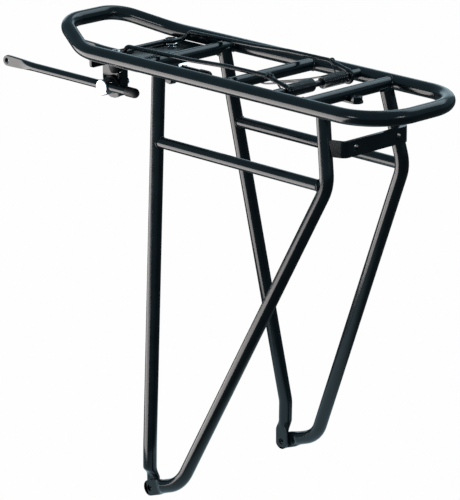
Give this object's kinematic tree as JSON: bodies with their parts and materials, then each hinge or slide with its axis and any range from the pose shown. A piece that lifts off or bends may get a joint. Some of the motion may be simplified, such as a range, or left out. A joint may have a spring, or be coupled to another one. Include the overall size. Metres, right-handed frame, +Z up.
{
  "type": "rear rack",
  "caption": "Black tubular bicycle rear rack with a sprung luggage clamp, pannier side rails, a light bracket, and two adjustable chrome-bolted stays in front.",
  "frame": {"origin": "midpoint between the two dropout eyelet holes in the feet", "axes": "+X towards the tail of the bicycle, +Y to its right side, +Z up"},
  "size_m": [0.4372, 0.165, 0.3629],
  "materials": {
    "black_coat": "satin",
    "black_spring_steel": "satin",
    "black_rubber": "matte",
    "chrome": "polished"
  },
  "bodies": {
    "rack": {"deck_loop": "black_coat", "crossbar_front": "black_coat", "crossbar_middle": "black_coat", "crossbar_rear": "black_coat", "left_front_leg": "black_coat", "right_front_leg": "black_coat", "left_rear_leg": "black_coat", "right_rear_leg": "black_coat", "left_side_rail": "black_coat", "right_side_rail": "black_coat", "light_bracket": "black_coat", "reflector_tab": "black_coat", "reflector_nut": "black_coat", "stay_plate": "black_coat", "spring_axle": "black_coat", "left_axle_bush": "black_coat", "right_axle_bush": "black_coat", "left_spring": "black_spring_steel", "right_spring": "black_spring_steel"},
    "clamp": {"clamp_bail": "black_coat"},
    "left_bracket": {"left_stay_bracket": "black_coat", "left_bracket_screw": "chrome", "left_bracket_washer": "chrome", "left_bracket_nut": "chrome"},
    "left_eye": {"left_eye_bolt": "chrome", "left_eye_washer": "black_rubber", "left_eye_nut": "chrome"},
    "left_stay_rod": {"left_stay": "black_coat", "left_stay_cap": "black_rubber"},
    "right_bracket": {"right_stay_bracket": "black_coat", "right_bracket_screw": "chrome", "right_bracket_washer": "chrome", "right_bracket_nut": "chrome"},
    "right_eye": {"right_eye_bolt": "chrome", "right_eye_washer": "black_rubber", "right_eye_nut": "chrome"},
    "right_stay_rod": {"right_stay": "black_coat", "right_stay_cap": "black_rubber"}
  },
  "joints": [
    {"name": "clamp_hinge", "type": "hinge", "parent": "rack", "child": "clamp", "pos_m": [0.1099, 0, 0.3395], "axis": [0, 1, 0], "range_deg": [0, 95], "stiffness_Nm_per_rad": 1.2, "springref_deg": -143.24, "deforming": ["left_spring", "right_spring"]},
    {"name": "left_bracket_slide", "type": "slide", "parent": "rack", "child": "left_bracket", "axis": [0, 1, 0], "range_m": [-0.0045, 0.013]},
    {"name": "left_eye_tilt", "type": "hinge", "parent": "left_bracket", "child": "left_eye", "pos_m": [-0.0867, -0.04, 0.3099], "axis": [0, 1, 0], "range_deg": [-15, 25]},
    {"name": "left_stay_slide", "type": "slide", "parent": "left_eye", "child": "left_stay_rod", "axis": [1, 0, 0], "range_m": [-0.018, 0.012]},
    {"name": "right_bracket_slide", "type": "slide", "parent": "rack", "child": "right_bracket", "axis": [0, -1, 0], "range_m": [-0.0045, 0.013]},
    {"name": "right_eye_tilt", "type": "hinge", "parent": "right_bracket", "child": "right_eye", "pos_m": [-0.0867, 0.04, 0.3099], "axis": [0, 1, 0], "range_deg": [-15, 25]},
    {"name": "right_stay_slide", "type": "slide", "parent": "right_eye", "child": "right_stay_rod", "axis": [1, 0, 0], "range_m": [-0.018, 0.012]}
  ]
}
